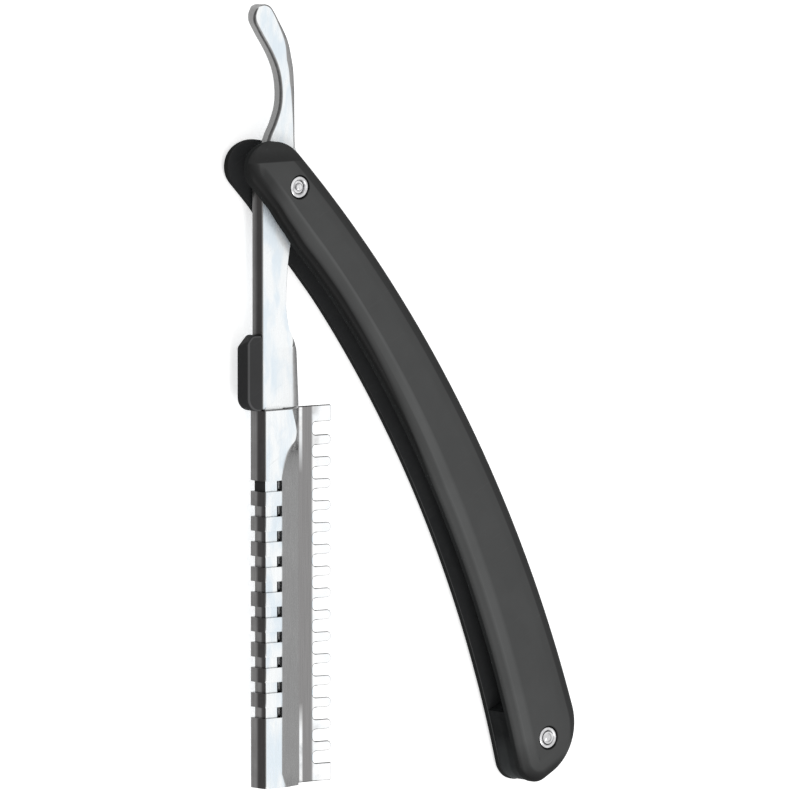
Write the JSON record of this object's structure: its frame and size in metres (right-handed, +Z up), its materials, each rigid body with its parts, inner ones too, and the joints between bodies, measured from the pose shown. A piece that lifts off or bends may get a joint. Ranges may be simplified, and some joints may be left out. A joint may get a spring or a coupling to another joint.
{
  "type": "hair styling razor",
  "caption": "Folding hair styling razor with curved black handle, steel shank with tang, slotted blade holder, comb guard and lock slider.",
  "frame": {"origin": "on the pivot axis, at the flat lower end of the pivot pin, on the surface that the razor lies on", "axes": "+X along the handle from the pivot to the end pin, +Y to the handle's convex side, +Z up along the pivot axis"},
  "size_m": [0.1506, 0.0685, 0.0087],
  "materials": {
    "scales": "semi-gloss black",
    "spacer": "matte dark grey",
    "slider": "matte black",
    "pins": "polished",
    "collars": "polished",
    "washers": "plain bronze",
    "shank": "satin polished",
    "holder": "satin polished",
    "pegs": "plain",
    "blade": "ground",
    "comb": "polished"
  },
  "bodies": {
    "handle": {"handle_scale_top": "scales", "handle_scale_bottom": "scales", "end_spacer": "spacer", "pivot_pin": "pins", "pivot_collar_top": "collars", "pivot_collar_bottom": "collars", "end_pin": "pins", "end_collar_top": "collars", "end_collar_bottom": "collars", "pivot_washer_top": "washers", "pivot_washer_bottom": "washers"},
    "head": {"pivot_bush": "washers", "shank_tang": "shank", "holder": "holder", "spine_bar": "holder", "blade_peg_upper": "pegs", "blade_peg_lower": "pegs"},
    "slider": {"lock_slider": "slider", "slider_spring": "pegs"},
    "blade": {"blade": "blade"},
    "guard": {"comb_guard": "comb"}
  },
  "joints": [
    {"name": "head_fold", "type": "hinge", "parent": "handle", "child": "head", "pos_m": [0, 0, 0.0043], "axis": [0, 0, 1], "range_deg": [-244, 26]},
    {"name": "lock_slide", "type": "slide", "parent": "head", "child": "slider", "axis": [-0.8741, 0.4857, 0], "range_m": [0, 0.0044]},
    {"name": "blade_release", "type": "slide", "parent": "head", "child": "blade", "axis": [0.4857, 0.8741, 0], "range_m": [0, 0.011]},
    {"name": "guard_release", "type": "slide", "parent": "head", "child": "guard", "axis": [0.4857, 0.8741, 0], "range_m": [0, 0.011]}
  ]
}
